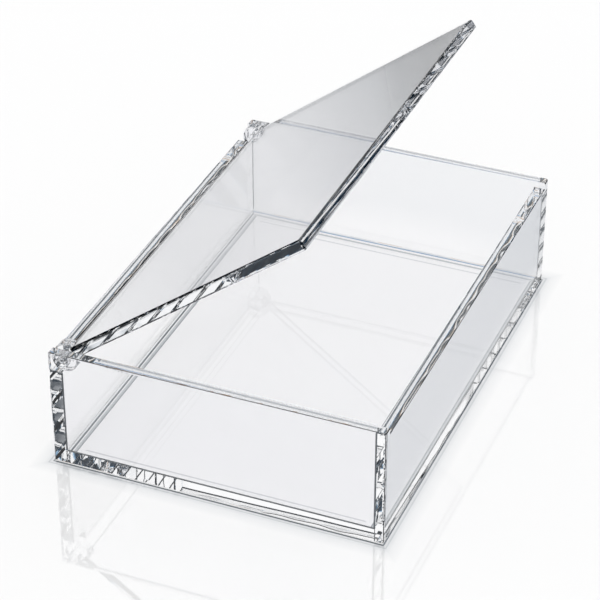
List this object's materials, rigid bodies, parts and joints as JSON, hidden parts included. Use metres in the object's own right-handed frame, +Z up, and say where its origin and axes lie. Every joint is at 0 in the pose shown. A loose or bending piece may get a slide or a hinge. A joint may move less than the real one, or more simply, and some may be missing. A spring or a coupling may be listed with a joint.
{
  "type": "acrylic storage box",
  "caption": "Clear acrylic box: a low rectangular tray of thick polished sheet, with an inset flat lid that swings up between the side panels on clear pin hinges.",
  "frame": {"origin": "middle of the tray's underside, on the surface that the box stands on", "axes": "+X along the hinge, from the left side panel to the right one; +Y from the front panel to the hinged back panel; +Z up"},
  "size_m": [0.215, 0.15, 0.1336],
  "materials": {
    "tray_acrylic": "clear cast acrylic, polished faces and edges",
    "lid_acrylic": "clear cast acrylic, polished faces and edges",
    "hinge_acrylic": "clear acrylic rod, polished"
  },
  "bodies": {
    "tray": {"base_panel": "tray_acrylic", "front_panel": "tray_acrylic", "back_panel": "tray_acrylic", "side_panel_left": "tray_acrylic", "side_panel_right": "tray_acrylic"},
    "lid": {"lid_panel": "lid_acrylic", "hinge_knuckle_left": "hinge_acrylic", "hinge_knuckle_right": "hinge_acrylic", "hinge_pin_left": "hinge_acrylic", "hinge_pin_right": "hinge_acrylic"}
  },
  "joints": [
    {"name": "lid_hinge", "type": "hinge", "parent": "tray", "child": "lid", "pos_m": [0, 0.069, 0.052], "axis": [-1, 0, 0], "range_deg": [-37, 97]}
  ]
}
